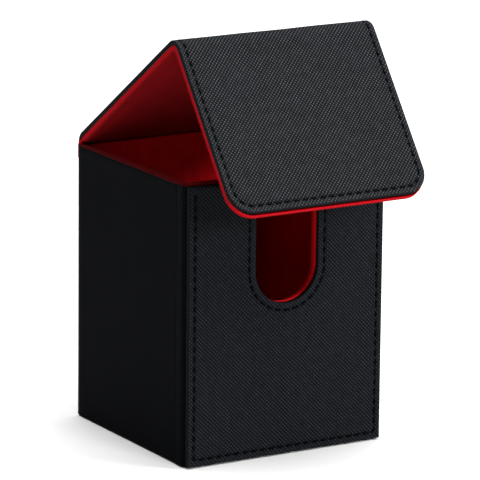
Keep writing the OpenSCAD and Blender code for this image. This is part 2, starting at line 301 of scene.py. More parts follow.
def lay_u(rows, half, foot, radius, edge, step=0.75, arc_steps=16):
    """A plate with two sides and a foot with round corners. Its rows run from the head to those corners."""
    sign = math.copysign(1, foot - rows[0, 0])
    a = np.linspace(0, math.pi / 2, arc_steps + 1)[1:]
    legs, arcs, zero = len(rows), len(a), np.zeros
    x_leg, x_arc = np.full(legs, -half), -(half - radius) - radius * np.cos(a)
    v_arc = foot - sign * radius + sign * radius * np.sin(a)
    base = spaced(-(half - radius), half - radius, step)[1:-1]

    def outline(v_leg):
        left = np.column_stack([np.concatenate([x_leg, x_arc]), np.concatenate([v_leg, v_arc])])
        middle = np.column_stack([base, np.full(len(base), foot)])
        return np.concatenate([left, middle, (left * [-1, 1])[::-1]])

    left_in = np.column_stack([np.concatenate([zero(legs) + 1, np.cos(a)]),
                               np.concatenate([zero(legs), -sign * np.sin(a)])])
    middle_in = np.column_stack([zero(len(base)), zero(len(base)) - sign])
    inward = np.concatenate([left_in, middle_in, (left_in * [-1, 1])[::-1]])
    pad = zero(2 * arcs + len(base))
    row_depth = np.concatenate([rows[:, 1], pad, rows[::-1, 1]])
    row_inset = np.concatenate([rows[:, 3], pad + FAR, rows[::-1, 3]])
    place = rings(outline(rows[:, 0]), inward, edge[:, 0])
    depth = np.maximum(edge[:, 1:2], row_depth[None])
    cloth = rings(outline(rows[:, 2]), inward, edge[:, 2])
    layout = Layout()
    ring = layout.add(np.dstack([place, depth]), cloth, np.minimum(edge[:, 2:3], row_inset[None]))
    layout.fill(ring)

    columns = len(base) + 1
    share = np.linspace(0, 1, columns + 1)[1:-1, None]
    turned = legs + arcs - 1
    grid = np.zeros((turned + 1, columns + 1), int)
    last = ring[-1]
    for j in range(turned):
        left, right = place[-1, j], place[-1, -1 - j]
        spread = left + (right - left) * share
        left_cloth, right_cloth = cloth[-1, j], cloth[-1, -1 - j]
        flat = np.column_stack([spread, np.full(len(spread), depth[-1, j])])
        new = layout.add(flat, left_cloth + (right_cloth - left_cloth) * share, row_inset[j])
        grid[j] = np.concatenate([[last[j]], new, [last[len(last) - 1 - j]]])
    grid[turned] = last[turned:len(last) - turned]
    layout.fill(grid.T)
    return layout


def lay_notched(half, foot, top, edge, top_edge, notch_edge, notch_half, notch_z, step=0.8):
    """A rectangular plate with a half-round-footed slot in its top, all of whose edges may be turned."""
    rows = turned_rows(top, -1, top_edge, spaced(top - top_edge[-1, 0] - step, notch_z, step))
    legs = len(rows)
    drop = spaced(0, 1, step / (notch_z - foot))[1:]
    over = spaced(0, 1, step / (2 * half))[1:-1]
    corner = math.atan2(notch_z - foot, half)
    angle = np.pi + np.concatenate([drop * corner, corner + over * (np.pi - 2 * corner),
                                    np.pi - corner * drop[::-1]])
    sides = np.concatenate([drop, np.ones(len(over)), drop[::-1]])
    reach = np.concatenate([-np.ones(len(drop)), 2 * over - 1, np.ones(len(drop))])
    legs_x = np.concatenate([-np.ones(legs), np.zeros(len(angle)), np.ones(legs)])

    def outlines(leg_z):
        """The plate's outline and the notch's, each with its steps into the sheet."""
        outer_z = np.concatenate([leg_z, notch_z + sides * (foot - notch_z), leg_z[::-1]])
        outer_x = legs_x + np.concatenate([np.zeros(legs), reach, np.zeros(legs)])
        inner_x = legs_x + np.concatenate([np.zeros(legs), np.cos(angle), np.zeros(legs)])
        inner_z = np.concatenate([leg_z, notch_z + np.sin(angle) * notch_half, leg_z[::-1]])
        rise = np.concatenate([np.zeros(legs), sides, np.zeros(legs)])
        swing = np.concatenate([np.zeros(legs), np.sin(angle), np.zeros(legs)])
        return (np.column_stack([outer_x * half, outer_z]), np.column_stack([-outer_x, rise]),
                np.column_stack([inner_x * notch_half, inner_z]), np.column_stack([inner_x, swing]))

    def lines(leg_z, column):
        outer, outer_in, inner, inner_in = outlines(leg_z)
        first = rings(outer, outer_in, edge[:, column])
        last = rings(inner, inner_in, notch_edge[::-1, column])
        share = np.linspace(0, 1, 26)[1:-1, None, None]
        return np.concatenate([first, first[-1] + (last[0] - first[-1]) * share, last])

    between = np.zeros(24)
    depth = np.concatenate([edge[:, 1], between, notch_edge[::-1, 1]])
    inset = np.concatenate([edge[:, 2], between + FAR, notch_edge[::-1, 2]])
    row_depth = np.concatenate([rows[:, 1], np.zeros(len(angle)), rows[::-1, 1]])
    row_inset = np.concatenate([rows[:, 3], np.full(len(angle), FAR), rows[::-1, 3]])
    flat = np.dstack([lines(rows[:, 0], 0), np.maximum(depth[:, None], row_depth[None])])
    return lay_grid(flat, lines(rows[:, 2], 2), np.minimum(inset[:, None], row_inset[None]))


# ---- relief and meshes ----

def nearest(points, targets):
    """Distance from each point to the nearest target."""
    found = np.full(len(points), FAR)
    for i in range(0, len(targets), 64):
        gaps = points[:, None] - targets[None, i:i + 64]
        found = np.minimum(found, np.sqrt((gaps ** 2).sum(-1)).min(1))
    return found


def stitch_places(track):
    """Distances along a track of the middle of each stitch."""
    count = int(track.length // STITCH_PITCH)
    spare = track.length - count * STITCH_PITCH
    return spare / 2 + (np.arange(count) + 0.5) * STITCH_PITCH


def sewn(seams, flat):
    """How far a seam draws the sheet in: under each stitch, and most at its two holes."""
    reach = STITCH_LENGTH / 2 * np.linspace(-1, 1, 6)
    stitches = np.concatenate([t.at((stitch_places(t)[:, None] + reach).ravel())[0] for t in seams])
    holes = np.concatenate([t.at((stitch_places(t)[:, None] + reach[[0, -1]]).ravel())[0] for t in seams])
    return (0.6 * np.exp(-(nearest(flat[:, :2], stitches) / 0.55) ** 2)
            + 0.4 * np.exp(-(nearest(flat[:, :2], holes) / 0.35) ** 2))


# how deep a seam draws a sheet in, and how thick the sheets are
SEAM_DEPTH = 0.42
SHEET_T = 0.4

# where the mark of the turned edge fades, as insets: on black sheets, and on the lid's lining, whose edge
# keeps the unshaded red, a bright band beside the painted shade of its field
EDGE_FADE = (-0.3, 0.5)
BAND_FADE = (-1.4, 0.5)


def ripple(seed, height, wave):
    """A faint unevenness, as of a sheet glued down by hand."""
    draw = np.random.default_rng(seed)
    turn = 2 * math.pi
    waves = [(draw.uniform(0.6, 1.6) * turn / wave, draw.uniform(0, turn), draw.uniform(0, turn))
             for _ in range(6)]

    def relief(flat):
        return height / 3 * sum(np.sin(k * (flat[:, 0] * math.cos(a) + flat[:, 1] * math.sin(a)) + p)
                                for k, a, p in waves)
    return relief


def add_mesh(name, points, faces, material, cloth, marks=None):
    """A smooth mesh from points in millimetres, with its cloth coordinates as a UV map, and named marks."""
    mesh = bpy.data.meshes.new(name)
    mesh.from_pydata((np.asarray(points) * MM).tolist(), [], faces)
    loops = np.zeros(len(mesh.loops), int)
    mesh.loops.foreach_get("vertex_index", loops)
    mesh.uv_layers.new(name="cloth").data.foreach_set("uv", cloth[loops].astype(np.float32).ravel())
    for mark, values in (marks or {}).items():
        mesh.attributes.new(mark, "FLOAT", "POINT").data.foreach_set("value", values.astype(np.float32))
    work = bmesh.new()
    work.from_mesh(mesh)
    bmesh.ops.remove_doubles(work, verts=work.verts, dist=0.002 * MM)
    bmesh.ops.dissolve_degenerate(work, edges=work.edges, dist=0.001 * MM)
    for edge in work.edges:
        edge.smooth = not edge.is_boundary
    work.to_mesh(mesh)
    work.free()
    mesh.polygons.foreach_set("use_smooth", [True] * len(mesh.polygons))
    mesh.materials.append(material)
    piece = bpy.data.objects.new(name, mesh)
    bpy.context.scene.collection.objects.link(piece)
    return piece


def add_sheet(name, layout, place, material, reliefs=(), seams=None, towards=-1, fade=EDGE_FADE):
    """Places a layout, with its face towards less or more depth, and gives the sheet its thickness."""
    flat, cloth, inset = layout.arrays()
    # the pressed mark shapes the seam's dip and also masks its painted shade
    pressed = sewn(seams, flat) if seams else np.zeros(len(flat))
    face = flat.copy()
    face[:, 2] -= towards * pressed * SEAM_DEPTH
    for relief in reliefs:
        face[:, 2] -= towards * relief(flat) * smooth(inset / 1.2)
    points, ahead = place(face), place(face + [0, 0, towards])
    faces = np.array(layout.faces)
    corner = points[faces]
    normal = np.cross(corner[:, 2] - corner[:, 0], corner[:, 3] - corner[:, 1])
    if (normal * (ahead - points)[faces[:, 0]]).sum() < 0:
        faces = faces[:, ::-1]
    # crest masks a painted highlight, in patches like wear, along the crest of each turned edge
    marks = {"turned": 1 - smooth((inset - fade[0]) / (fade[1] - fade[0])),
             "crest": np.exp(-((inset - 0.4) / 0.8) ** 2), "pressed": pressed}
    piece = add_mesh(name, points, faces.tolist(), material, cloth, marks)
    shell = piece.modifiers.new("thickness", "SOLIDIFY")
    shell.thickness, shell.offset = SHEET_T * MM, -1
    return piece


def add_thread(name, tracks, place, node):
    """Stitches along each track, in place of a CAD node's: short threads that dive into their two holes."""
    points, faces, cloth = [], [], []
    rounds, steps = 8, 9
    angles = np.arange(rounds) * 2 * math.pi / rounds
    for track in tracks:
        for middle in stitch_places(track):
            t = np.linspace(-1, 1, steps)
            along = middle + t * STITCH_LENGTH / 2
            centre, heading = track.at(along)
            lift = 0.14 * (1 - t ** 4) - 0.28
            girth = THREAD_R * (1 - 0.45 * t ** 6)
            first = len(points)
            for i in range(steps):
                side = girth[i] * np.cos(angles)
                across = centre[i] + side[:, None] * [-math.sin(heading[i]), math.cos(heading[i])]
                depth = -(lift[i] + 0.85 * girth[i] * np.sin(angles))
                points += np.column_stack([across, depth]).tolist()
                cloth += np.column_stack([np.full(rounds, along[i]), angles]).tolist()
            for i in range(steps - 1):
                for j in range(rounds):
                    a, b = first + i * rounds + j, first + i * rounds + (j + 1) % rounds
                    faces.append((a, b, b + rounds, a + rounds))
            faces.append(tuple(first + j for j in reversed(range(rounds))))
            faces.append(tuple(first + (steps - 1) * rounds + j for j in range(rounds)))
    points = place(np.array(points))
    corner = points[np.array(faces[0])]
    middle = points[:steps * rounds].mean(0)
    if np.dot(np.cross(corner[1] - corner[0], corner[3] - corner[0]), corner.mean(0) - middle) < 0:
        faces = [f[::-1] for f in faces]
    piece = add_mesh(name, points, faces, THREAD, np.array(cloth))
    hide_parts(node)
    return piece


# ---- materials ----

class Paint:
    """A procedural material, built up node by node."""

    def __init__(self, name, **sockets):
        self.material = bpy.data.materials.new(name)
        self.material.use_nodes = True
        self.tree = self.material.node_tree
        self.shader = self.tree.nodes["Principled BSDF"]
        for socket, value in sockets.items():
            self.shader.inputs[socket.replace("_", " ").title().replace("Ior", "IOR")].default_value = value

    def node(self, kind, settings=None, **inputs):
        """Adds a node. An input is given by its name, with _ for a space, or by its number, as _0."""
        made = self.tree.nodes.new("ShaderNode" + kind)
        for key, value in (settings or {}).items():
            setattr(made, key, value)
        for key, value in inputs.items():
            self.feed(made.inputs[int(key[1:]) if key[0] == "_" else key.replace("_", " ")], value)
        return made

    def feed(self, socket, value):
        """Links a socket to another node's output, or gives it a plain value."""
        if isinstance(value, bpy.types.NodeSocket):
            self.tree.links.new(value, socket)
        else:
            socket.default_value = value

    def math(self, operation, *values):
        inputs = {f"_{i}": value for i, value in enumerate(values)}
        return self.node("Math", {"operation": operation}, **inputs).outputs[0]

    def noise(self, place, scale, detail=3.0, roughness=0.55):
        made = self.node("TexNoise", Vector=place, Scale=scale, Detail=detail, Roughness=roughness)
        return made.outputs["Fac"]

    def cloth(self):
        """Place on the cloth, in millimetres."""
        return self.node("UVMap", {"uv_map": "cloth"}).outputs["UV"]

    def mark(self, name):
        """A mark of the mesh: turned over an edge, on the crest of that turn, or pressed in by a seam."""
        return self.node("Attribute", {"attribute_name": name}).outputs["Fac"]

    def mix(self, share, first, second):
        made = self.node("Mix", {"data_type": "RGBA"})
        for socket, value in zip((made.inputs[0], made.inputs[6], made.inputs[7]), (share, first, second)):
            self.feed(socket, value)
        return made.outputs[2]

    def range(self, value, from_min, from_max, to_min, to_max):
        return self.node("MapRange", Value=value, From_Min=from_min, From_Max=from_max,
                         To_Min=to_min, To_Max=to_max).outputs[0]

    def bump(self, height, distance, normal=None):
        made = self.node("Bump", Height=height, Distance=distance)
        if normal is not None:
            self.feed(made.inputs["Normal"], normal)
        return made.outputs["Normal"]

    def set(self, socket, value):
        self.feed(self.shader.inputs[socket], value)


# distance between pips, and the painted shade put in the hollows that the stitches lie in; all colours are linear
GRAIN_PITCH = 1.045
SEAM_PAINTED_SHADE = (0.0004, 0.0004, 0.0006, 1)


def black_leathercloth(name, pip, valley, gloss, relief):
    """Black leathercloth, embossed with pips on crossed diagonals, paler on the pips than in the valleys: partly
    the grain's tone, partly painted highlight and painted shade.
    """
    pip_colour, valley_colour = (*pip, 1), (*valley, 1)
    paint = Paint(name, specular_ior_level=gloss)
    place = paint.cloth()
    wander = paint.noise(place, 0.12, 2.0)
    split = paint.node("SeparateXYZ", Vector=place)
    turn = 2 * math.pi / (math.sqrt(2) * GRAIN_PITCH)
    shift = paint.math("MULTIPLY", wander, 2.2)
    rib = paint.math("MULTIPLY_ADD", paint.math("ADD", split.outputs[0], split.outputs[1]), turn, shift)
    cross = paint.math("SUBTRACT", split.outputs[0], split.outputs[1])
    bead = paint.math("MULTIPLY_ADD", cross, turn, shift)
    ribs = paint.math("MULTIPLY_ADD", paint.math("COSINE", rib), 0.5, 0.5)
    beads = paint.math("MULTIPLY_ADD", paint.math("COSINE", bead), 0.5, 0.5)
    pips = paint.math("MULTIPLY", ribs, paint.math("MULTIPLY_ADD", beads, 0.72, 0.28))
    uneven = paint.range(paint.noise(place, 0.35, 3.0), 0.3, 0.7, 0.75, 1.1)
    field = paint.math("SUBTRACT", 1.0, paint.math("MULTIPLY", paint.mark("turned"), 0.75))
    pips = paint.math("MULTIPLY", paint.math("MULTIPLY", pips, uneven), field)
    creases = paint.noise(place, 5.0, 4.0, 0.65)
    patches = paint.noise(place, 0.06, 3.0)
    patchy = paint.math("MULTIPLY", patches, 0.05)
    tone = paint.math("MULTIPLY_ADD", paint.math("POWER", pips, 2.2), 0.95, patchy)
    # painted highlight on the pips and painted shade in the valleys, over the grain's own tone
    colour = paint.mix(tone, valley_colour, pip_colour)
    # painted shade in the seam's hollows
    colour = paint.mix(paint.mark("pressed"), colour, SEAM_PAINTED_SHADE)
    # painted highlight on the crests of turned edges, in patches like wear
    crest_patches = paint.range(paint.noise(place, 1.3), 0.35, 0.7, 0.0, 0.25)
    crest_highlight_and_wear = paint.math("MULTIPLY", paint.mark("crest"), crest_patches)
    paint.set("Base Color", paint.mix(crest_highlight_and_wear, colour, [0.6 * c for c in pip_colour[:3]] + [1]))
    smoother = paint.math("MULTIPLY_ADD", pips, -0.12, 0.56)
    paint.set("Roughness", paint.math("MULTIPLY_ADD", creases, 0.12, smoother))
    height = paint.math("MULTIPLY_ADD", creases, 0.12, pips)
    paint.set("Normal", paint.bump(height, relief * MM))
    return paint.material


NAP_DARK, NAP_LIGHT = (0.33, 0.002, 0.005), (0.50, 0.005, 0.01)
EDGE_RED = (0.45, 0.004, 0.009, 1)


def red_suede(name, painted_shade):
    """Red microfibre suede: a soft nap with lighter and darker brush marks. The given shade darkens it all over,
    as painted shade for where the copy is used; its turned edge keeps the unshaded red.
    """
    paint = Paint(name, specular_ior_level=0.03, sheen_weight=0.02, sheen_roughness=0.4,
                  sheen_tint=(1.0, 0.2, 0.25, 1))
    place = paint.cloth()
    brushed = paint.node("Mapping", Vector=place, Scale=(0.5, 0.16, 1.0), Rotation=(0, 0, 0.3)).outputs[0]
    marks = paint.noise(brushed, 0.5, 4.0, 0.6)
    fibres = paint.noise(place, 4.5, 3.0, 0.7)
    tone = paint.math("MULTIPLY_ADD", marks, 0.75, paint.math("MULTIPLY", fibres, 0.35))
    dark, light = ([painted_shade * c for c in colour] + [1] for colour in (NAP_DARK, NAP_LIGHT))
    colour = paint.mix(paint.range(tone, 0.3, 0.8, 0.0, 1.0), dark, light)
    # the turned edge keeps the unshaded red, so it shows as a lighter band beside the painted shade of the field
    bright = paint.math("MULTIPLY", paint.mark("turned"), 0.85)
    paint.set("Base Color", paint.mix(bright, colour, EDGE_RED))
    paint.set("Roughness", paint.range(fibres, 0.3, 0.7, 0.82, 0.98))
    height = paint.math("MULTIPLY_ADD", marks, 0.4, fibres)
    paint.set("Normal", paint.bump(height, 0.09 * MM))
    return paint.material


def black_thread():
    """Twisted black thread, with the stripes of its plies."""
    paint = Paint("black_thread", specular_ior_level=0.02)
    place = paint.cloth()
    split = paint.node("SeparateXYZ", Vector=place)
    twist = paint.math("SINE", paint.math("MULTIPLY_ADD", split.outputs[0], 14.0, split.outputs[1]))
    plies = paint.math("MULTIPLY_ADD", twist, 0.5, 0.5)
    fuzz = paint.noise(place, 9.0)
    colour = paint.mix(plies, (0.0002, 0.0002, 0.0003, 1), (0.0014, 0.0015, 0.002, 1))
    paint.set("Base Color", colour)
    paint.set("Roughness", paint.range(fuzz, 0.3, 0.7, 0.55, 0.8))
    paint.set("Normal", paint.bump(paint.math("MULTIPLY_ADD", fuzz, 0.3, plies), 0.06 * MM))
    return paint.material


def greyboard():
    """Grey bookbinder's board with flecks and a faint fibre direction."""
    paint = Paint("greyboard", specular_ior_level=0.2)
    place = paint.node("TexCoord").outputs["Object"]
    fibre = paint.noise(paint.node("Mapping", Vector=place, Scale=(400, 400, 90)).outputs[0], 1.0, 4.0)
    flecks = paint.noise(place, 2200.0, 2.0)
    tone = paint.math("MULTIPLY_ADD", fibre, 0.6, paint.math("MULTIPLY", flecks, 0.4))
    pale = paint.range(tone, 0.3, 0.7, 0, 1)
    paint.set("Base Color", paint.mix(pale, (0.26, 0.24, 0.21, 1), (0.42, 0.39, 0.34, 1)))
    paint.set("Roughness", paint.range(fibre, 0.3, 0.7, 0.8, 0.95))
    paint.set("Normal", paint.bump(tone, 0.05 * MM))
    return paint.material


def plated_steel():
    """Nickel-plated steel with fine scratches."""
    paint = Paint("plated_steel", metallic=1.0)
    place = paint.node("TexCoord").outputs["Object"]
    drawn = paint.node("Mapping", Vector=place, Scale=(3000, 3000, 200)).outputs[0]
    scratches = paint.noise(drawn, 1.0, 3.0)
    paint.set("Base Color", paint.mix(scratches, (0.48, 0.48, 0.50, 1), (0.68, 0.68, 0.70, 1)))
    paint.set("Roughness", paint.range(scratches, 0.3, 0.7, 0.22, 0.4))
    paint.set("Normal", paint.bump(scratches, 0.01 * MM))
    return paint.material


# one leathercloth in lit and shaded copies: the first, for the lid, flap, back and base, is the lit one; the
# panel, corner strips and side walls get darker pips as painted shade, darkest where the face catches least light
LEATHER = black_leathercloth("black_leathercloth", pip=(0.064, 0.070, 0.077),
                             valley=(0.0004, 0.0006, 0.0009), gloss=0.03, relief=0.35)
PANEL_LEATHER_SHADED = black_leathercloth("panel_leathercloth_painted_shade", pip=(0.030, 0.034, 0.040),
                                   valley=(0.0026, 0.0032, 0.004), gloss=0.02, relief=0.2)
STRIP_LEATHER_SHADED = black_leathercloth("strip_leathercloth_painted_shade", pip=(0.009, 0.010, 0.012),
                                   valley=(0.001, 0.0012, 0.0016), gloss=0.01, relief=0.15)
PLAIN_LEATHER_SHADED = black_leathercloth("plain_leathercloth_painted_shade", pip=(0.0045, 0.0055, 0.0075),
                                   valley=(0.001, 0.0012, 0.0016), gloss=0.01, relief=0.04)
# copies of one suede: the walls' at about its full tone, the lid's and the rim's darkened as painted shade
SUEDE, LID_SUEDE = red_suede("red_suede", 1.05), red_suede("red_suede_lid_painted_shade", 0.33)
RIM_SUEDE = red_suede("red_suede_rim_painted_shade", 0.10)
THREAD = black_thread()
inside = {"greyboard": greyboard(), "magnet_steel": plated_steel()}
slots = {s["node"]: s["material_slot"] for s in frame["record"]["subparts"]}
for node, cad in frame["nodes"].items():
    if slots.get(node) in inside:
        cad.data.materials.clear()
        cad.data.materials.append(inside[slots[node]])


# ---- the lid's track: up the back wall, over the fold, along the lid, over the ridge, down the flap ----

rear_bend, ridge_bend = math.pi / 2 - lid_angle, math.pi / 2 - ridge_angle
rear_run = (REAR_R - REAR_DEPTH) * math.tan(rear_bend / 2)
ridge_run = (RIDGE_R - RIDGE_DEPTH) * math.tan(ridge_bend / 2)
lid_reach = (hinge[0] - ridge[0]) * math.cos(lid_angle) + (ridge[1] - hinge[1]) * math.sin(lid_angle)

track = Track((BACK, 0), math.pi / 2)
REAR_FOLD = track.add(hinge[1] - rear_run).length
LID = track.add(REAR_R * rear_bend, rear_bend).length
RIDGE_FOLD = track.add(lid_reach - rear_run - ridge_run).length
FLAP = track.add(RIDGE_R * ridge_bend, ridge_bend).length
FOOT = track.add(FLAP_FOOT - ridge_run).length
MIDDLE = (LID + RIDGE_FOLD) / 2
LID_BOARD_START = LID + LID_START - rear_run
LID_BOARD_END = RIDGE_FOLD - (lid_reach - ridge_run + top_low[1])
FLAP_BOARD_START = FLAP + FLAP_START - ridge_run
RED_FOOT = FOOT + FLAP_RED_FOOT - FLAP_FOOT


def on_lid(flat):
    """Places (across, along, depth) on the lid's track."""
    y, z = track.beside(flat[:, 1], flat[:, 2]).T
    return np.column_stack([flat[:, 0], y, z])


def zone(start, end):
    """The stretch of the track, in metres, where a sheet goes over from one body to the next."""
    first, last = ((0, y * MM, z * MM) for y, z in track.at([start, end])[0])
    return dict(start=first, end=last)


rear_zone = zone(RIM_BASE - 1, LID_BOARD_START)
ridge_zone = zone(LID_BOARD_END, FLAP_BOARD_START)


def widening(v):
    """How far the layers have changed from those of the back wall to those of the lid, from 0 to 1."""
    return float(smooth((v - RIM + 1) / 4))


def back_and_lid_leather():
    """The black sheet from the foot of the back wall to the middle of the lid."""
    back_r, back_t = 0.35, 0.6

    def edge(v):
        share = widening(v)
        return section(back_r + (EDGE_R - back_r) * share, back_t + (BLACK_EDGE_T - back_t) * share,
                       field=STITCH_FIELD)

    rows = turned_rows(0.35, 1, section(0.7, 1.2), np.concatenate([
        spaced(1.6, REAR_FOLD - 2, 1.6), spaced(REAR_FOLD - 1.6, LID_BOARD_START, 0.4),
        spaced(LID_BOARD_START + 0.6, MIDDLE, 0.6)]))
    layout = lay_strip(rows, lambda v: LID_HALF, edge)
    piece = add_sheet("back_and_lid_leather", layout, on_lid, LEATHER,
                      [ripple(1, 0.05, 30)], lid_seams)
    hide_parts("back_cover", "rear_hinge_cover", "top_cover")
    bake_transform(piece)


def ridge_rows(foot, step):
    """Rows from the middle of the lid to the flap's round corners, closer together over the ridge."""
    return plain_rows(np.concatenate([
        spaced(MIDDLE, RIDGE_FOLD - 2, step), spaced(RIDGE_FOLD - 1.5, FLAP + 1.5, 0.4),
        spaced(FLAP + 2.1, foot - FLAP_R, step)]))


def ridge_and_flap_leather():
    """The black sheet from the middle of the lid, over the ridge and down the flap."""
    layout = lay_u(ridge_rows(FOOT, 0.7), LID_HALF, FOOT, FLAP_R,
                   section(EDGE_R, BLACK_EDGE_T, field=STITCH_FIELD))
    piece = add_sheet("ridge_and_flap_leather", layout, on_lid, LEATHER,
                      [ripple(1, 0.05, 30)], [flap_seam])
    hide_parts("ridge_cover", "flap_cover")
    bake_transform(piece)


lid_seams = [Track((side * (LID_HALF - STITCH_IN), LID_BOARD_START + 2), math.pi / 2)
             .add(MIDDLE - LID_BOARD_START - 2) for side in (-1, 1)]
flap_seam = u_track(LID_HALF - STITCH_IN, MIDDLE, FOOT - STITCH_IN, FLAP_R - STITCH_IN)


def inner_side(edge, depth):
    """Turns an edge's section over, so that its face looks into the box from a depth."""
    return edge * [1, -1, 1] + [0, depth, 0]


def lid_suede():
    """The red lining of the lid's rear half. It steps out over the back wall's rim from its thin tail."""
    tail_out, tail_in = 0.35, 0.85
    shelf, shelf_depth = RIM - 0.15, BACK - ROOM_BACK - 0.6

    def depths(v):
        outer = tail_out + (BLACK_EDGE_T - tail_out) * widening(v)
        if v < shelf:
            return outer, tail_in
        return outer, shelf_depth + (LID_T - shelf_depth) * float(smooth((v - shelf) / (LID + 1 - shelf)))

    def edge(v):
        outer, inner = depths(v)
        thick = inner - outer
        radius, tuck = min(0.7, 0.45 * thick), min(0.2, 0.2 * thick)
        return inner_side(section(radius, thick, tuck, field=(1.5, 3.0)), inner)

    rows = plain_rows(np.concatenate([
        spaced(TAIL_FOOT, shelf - 0.05, 0.6), [shelf, shelf + 0.05],
        spaced(shelf + 0.4, LID_BOARD_START, 0.4), spaced(LID_BOARD_START + 0.8, MIDDLE, 0.9)]))
    layout = lay_strip(rows, lambda v: TAIL_HALF + (RED_HALF - TAIL_HALF) * widening(v), edge)
    piece = add_sheet("lid_suede", layout, on_lid, LID_SUEDE, [ripple(3, 0.06, 22)],
                      towards=1, fade=BAND_FADE)
    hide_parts("rear_hinge_lining", "top_lining")
    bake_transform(piece)


def flap_suede():
    """The red lining from the middle of the lid to the flap's foot, past which it shows."""
    edge = inner_side(section(0.7, LID_T - BLACK_EDGE_T, field=(1.2, 2.0, 3.5, 5.0)), LID_T)
    layout = lay_u(ridge_rows(RED_FOOT, 0.9), RED_HALF, RED_FOOT, FLAP_R, edge, 0.9)
    piece = add_sheet("flap_suede", layout, on_lid, LID_SUEDE, [ripple(3, 0.06, 22)],
                      towards=1, fade=BAND_FADE)
    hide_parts("ridge_lining", "flap_lining")
    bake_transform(piece)


# ---- the box's leathercloth ----

def on_front(flat):
    """Places (across, height, depth) on the front panel."""
    return np.column_stack([flat[:, 0], PANEL_FACE + flat[:, 2], flat[:, 1]])


def panel_leather():
    """The stitched panel with the thumb notch."""
    edge, top_edge = section(EDGE_R, PANEL_T, field=STITCH_FIELD), section(1.1, PANEL_T, field=(1.6, 2.2))
    notch_edge = section(0.45, PANEL_T, field=STITCH_FIELD)
    layout = lay_notched(PANEL_HALF, PANEL_FOOT, PANEL_TOP, edge, top_edge, notch_edge, NOTCH_HALF, NOTCH_Z)
    piece = add_sheet("panel_leather", layout, on_front, PANEL_LEATHER_SHADED,
                      [ripple(5, 0.06, 28)], [panel_seam, notch_seam])
    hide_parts("panel_cover")
    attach(piece, "box")


panel_seam = u_track(PANEL_HALF - STITCH_IN, PANEL_TOP - SEAM_END, PANEL_FOOT + STITCH_IN, 1.0)
notch_seam = u_track(NOTCH_HALF + NOTCH_STITCH_OUT, PANEL_TOP - SEAM_END,
                     NOTCH_Z - NOTCH_HALF - NOTCH_STITCH_OUT, NOTCH_HALF + NOTCH_STITCH_OUT)


def upright(plan, mirror):
    """Places (along the plan, height, depth), with depth to the left of the plan's line."""
    def place(flat):
        x, y = plan.beside(flat[:, 0], flat[:, 2]).T
        return np.column_stack([x * mirror, y, flat[:, 1]])
    return place


# the section of an end that is cut off flat
CUT = np.zeros((1, 3))


def lay_wall(first, last, length, rows, step):
    """A sheet whose columns run along a plan from 0 to length, with a section for each end."""
    middle = spaced(first[-1, 0], length - last[-1, 0], step)[1:-1]
    across = np.concatenate([first[:, 0], middle, (length - last[:, 0])[::-1]])
    cloth = np.concatenate([first[:, 2], middle, (length - last[:, 2])[::-1]])
    depth = np.concatenate([first[:, 1], middle * 0, last[::-1, 1]])
    inset = np.minimum(FAR if first is CUT else np.abs(cloth),
                       FAR if last is CUT else np.abs(length - cloth))
    shape = (len(rows), len(across))
    flat = np.stack([np.broadcast_to(across, shape), np.broadcast_to(rows[:, :1], shape),
                     np.maximum(depth[None], rows[:, 1:2])], -1)
    cloth = np.stack([np.broadcast_to(cloth, shape), np.broadcast_to(rows[:, 2:3], shape)], -1)
    return lay_grid(flat, cloth, np.minimum(inset, rows[:, 3:]))


def wall_rows(low, high, low_edge, high_edge, step):
    """Heights with a turned edge at the foot and at the top."""
    foot = turned_rows(low, 1, low_edge, [])
    head = turned_rows(high, -1, high_edge, [])[::-1]
    middle = plain_rows(spaced(low + low_edge[-1, 0], high - high_edge[-1, 0], step)[1:-1])
    middle[:, 3] = np.minimum(middle[:, 0] - low, high - middle[:, 0])
    return np.vstack([foot, middle, head])


def hem(flat):
    """The leathercloth is double where its top edge is turned down."""
    return -0.12 * smooth((flat[:, 1] - (RIM - 4.2)) / 0.5)


def side_leather(side, mirror):
    """A side wall's sheet, from the corner strip to round the back corner, under the back's sheet."""
    wrap, recess, gap = 5.0, 0.22, 0.3
    start = STRIP_END + gap
    plan = Track((-(BOX_HALF - recess), start), math.pi / 2)
    plan.add(BACK - 0.5 - BACK_CORNER_R - start)
    plan.add(BACK_CORNER_R * math.pi / 2, -math.pi / 2)
    plan.add(wrap)
    rows = wall_rows(COVER_FOOT, COVER_TOP, section(0.4, 1.2), section(0.35, 0.8), 1.0)
    layout = lay_wall(section(0.25, 0.6, 0.15, field=(0.6, 1.2)), CUT, plan.length, rows, 1.0)
    place = upright(plan, mirror)
    piece = add_sheet(f"{side}_wall_leather", layout, lambda f: place(f * [1, 1, -1]), PLAIN_LEATHER_SHADED,
                      [hem, ripple(6 + mirror, 0.04, 35)])
    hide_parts(f"{side}_cover")
    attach(piece, "box")


def corner_leather(side, mirror):
    """The strip that comes from under the panel and turns round the front corner."""
    plan = Track((-BOX_HALF, STRIP_END), -math.pi / 2)
    plan.add(STRIP_END - (PANEL_BACK + STRIP_R))
    plan.add(STRIP_R * math.pi / 2, math.pi / 2)
    plan.add(strip_high[0] + BOX_HALF - STRIP_R - 0.5)
    rows = wall_rows(COVER_FOOT, COVER_TOP, section(0.4, 1.2), section(0.35, 0.75), 1.0)
    layout = lay_wall(section(0.28, 0.7, 0.15, field=(0.6, 1.0)), CUT, plan.length, rows, 0.45)
    piece = add_sheet(f"{side}_corner_leather", layout, upright(plan, mirror), STRIP_LEATHER_SHADED,
                      [ripple(9 + mirror, 0.03, 20)])
    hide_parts(f"{side}_corner_strip")
    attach(piece, "box")


